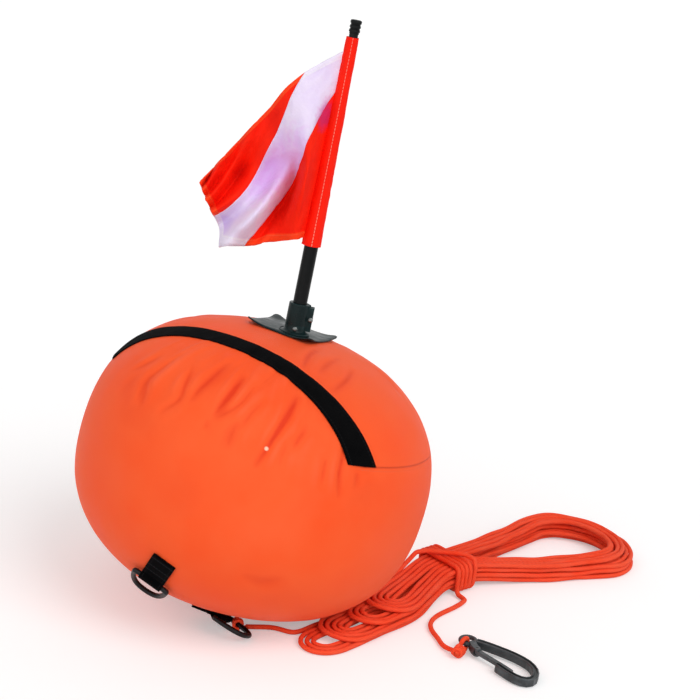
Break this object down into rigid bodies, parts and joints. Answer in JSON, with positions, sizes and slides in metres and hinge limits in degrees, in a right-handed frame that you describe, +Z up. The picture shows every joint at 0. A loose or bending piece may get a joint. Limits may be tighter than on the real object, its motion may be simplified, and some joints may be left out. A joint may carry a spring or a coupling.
{
  "type": "dive marker buoy",
  "caption": "Round inflatable surface marker buoy in a fabric cover, with a flag on a clamped mast, webbing tabs with D-rings, a hank of line and a snap hook.",
  "frame": {"origin": "on the floor, under the middle of the float's outline", "axes": "+Z up, +X to the picture's right, +Y away from the camera"},
  "size_m": [0.5918, 0.4163, 0.5884],
  "materials": {
    "cover_fabric": "coated nylon, satin",
    "closure_webbing": "woven, matt",
    "bladder_film": "film, satin",
    "valve_plastic": "moulded, matt",
    "patch_rubber": "moulded, satin",
    "mast_plastic": "extruded, satin",
    "clamp_steel": "plain",
    "flag_red": "thin nylon, satin",
    "flag_white": "thin nylon, satin",
    "ring_plastic": "moulded, satin",
    "line_orange": "braided, satin",
    "hook_plastic": "moulded, satin"
  },
  "bodies": {
    "float": {"cover_lower": "cover_fabric", "cover_upper": "cover_fabric", "closure_tape": "closure_webbing", "closure_flap": "closure_webbing", "bladder": "bladder_film", "valve_body": "valve_plastic", "valve_plug": "valve_plastic", "mast_patch": "patch_rubber", "patch_backing": "patch_rubber", "mast_socket": "patch_rubber", "clamp_screw": "clamp_steel", "clamp_nut": "clamp_steel", "socket_rivet": "clamp_steel", "front_tab": "closure_webbing", "lower_tab": "closure_webbing", "line_lead": "line_orange", "line_hank": "line_orange", "line_tie": "line_orange", "line_tail": "line_orange", "line_knot": "line_orange", "hook_loop": "line_orange", "hook_body": "hook_plastic", "hook_pin": "clamp_steel", "gate_spring": "clamp_steel"},
    "mast": {"mast_tube": "mast_plastic", "mast_foot": "mast_plastic", "mast_ferrule": "mast_plastic", "mast_rod": "mast_plastic", "mast_tip": "mast_plastic"},
    "flag": {"flag_sleeve": "flag_red", "flag_hoist": "flag_red", "flag_stripe": "flag_white", "flag_fly": "flag_red"},
    "front_ring": {"front_ring": "ring_plastic"},
    "lower_ring": {"lower_ring": "ring_plastic", "lead_knot": "line_orange"},
    "gate": {"hook_gate": "hook_plastic"}
  },
  "joints": [
    {"name": "mast_slide", "type": "slide", "parent": "float", "child": "mast", "axis": [0.0959, 0.1317, 0.9866], "range_m": [0, 0.03]},
    {"name": "flag_swivel", "type": "hinge", "parent": "mast", "child": "flag", "pos_m": [0.02648, 0.01852, 0.27641], "axis": [0.0959, 0.1317, 0.9866], "continuous": true},
    {"name": "front_ring_swing", "type": "hinge", "parent": "float", "child": "front_ring", "pos_m": [-0.08292, -0.13671, 0.06829], "axis": [-0.8715, 0.1661, 0.4615], "range_deg": [-8, 110]},
    {"name": "lower_ring_swing", "type": "hinge", "parent": "float", "child": "lower_ring", "pos_m": [-0.01344, -0.09273, 0.01475], "axis": [0.4034, 0.8253, -0.3952], "range_deg": [-4, 80]},
    {"name": "gate_hinge", "type": "hinge", "parent": "float", "child": "gate", "pos_m": [0.23831, -0.09217, 0.00731], "axis": [0.0259, -0.0283, 0.9993], "range_deg": [0, 22], "stiffness_Nm_per_rad": 0.12, "springref_deg": -17.19, "deforming": ["gate_spring"]}
  ]
}
